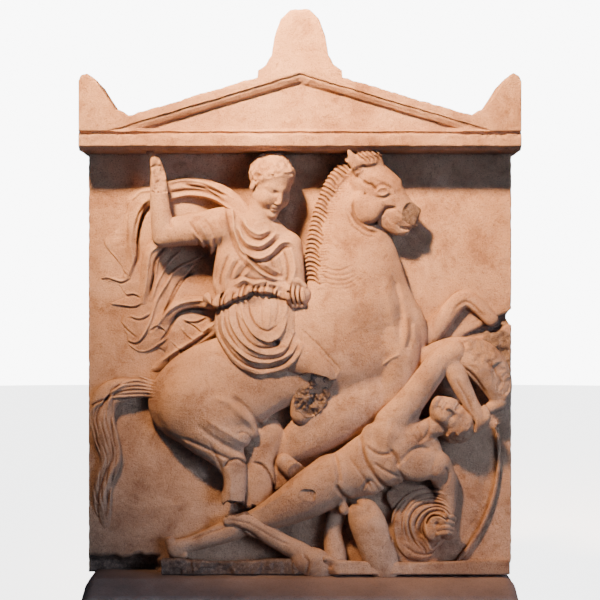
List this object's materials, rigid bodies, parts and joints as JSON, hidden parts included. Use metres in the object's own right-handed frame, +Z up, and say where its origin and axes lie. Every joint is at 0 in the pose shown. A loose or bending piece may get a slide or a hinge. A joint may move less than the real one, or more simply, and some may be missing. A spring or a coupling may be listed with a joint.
{
  "type": "carved stone stele",
  "caption": "Pedimented marble stele on a plain plinth, carved in high relief with a horseman on a rearing horse over a fallen man; worn and broken in places.",
  "frame": {"origin": "middle of the plinth's underside", "axes": "+Z up, +X along the width towards the fallen man's head and shield, -Y out of the carved face towards the viewer"},
  "size_m": [1.343, 0.4, 2.01],
  "materials": {
    "marble": "weathered, matt, warm patina",
    "plinth_stone": "weathered, matt"
  },
  "bodies": {
    "root": {"stele": "marble", "plinth": "plinth_stone"}
  },
  "joints": []
}
